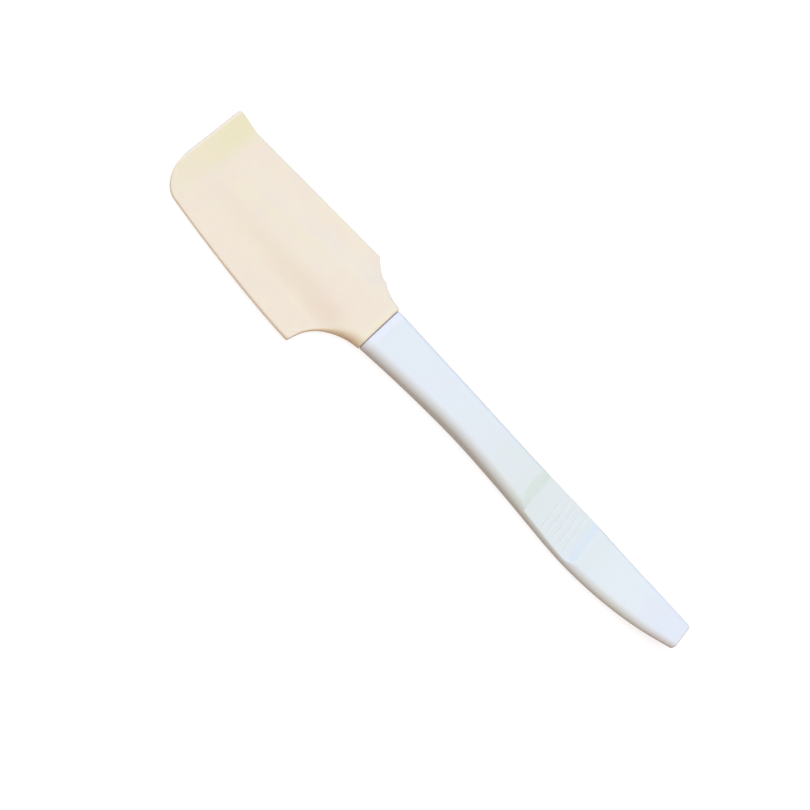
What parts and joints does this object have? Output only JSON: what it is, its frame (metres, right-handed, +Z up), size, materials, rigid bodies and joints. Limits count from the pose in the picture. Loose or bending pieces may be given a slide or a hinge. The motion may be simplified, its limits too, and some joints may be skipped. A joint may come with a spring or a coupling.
{
  "type": "flexible scraper",
  "caption": "Flexible kitchen scraper: a thin soft blade with a pointed and a rounded tip corner, pushed onto a white plastic handle with a grooved thumb rest.",
  "frame": {"origin": "below the middle of the bounding box, on the plane that the scraper lies on", "axes": "+X from the blade's tip to the tail of the handle, +Z up from the back to the side with the thumb rest, +Y toward the straight long edge of the blade"},
  "size_m": [0.2468, 0.0528, 0.0071],
  "materials": {
    "white_plastic": "satin moulded",
    "cream_elastomer": "soft matt, slightly translucent"
  },
  "bodies": {
    "handle": {"handle": "white_plastic"},
    "head": {"scraper_head": "cream_elastomer"}
  },
  "joints": [
    {"name": "head_pull", "type": "slide", "parent": "handle", "child": "head", "axis": [-1, 0, 0], "range_m": [0, 0.05]}
  ]
}
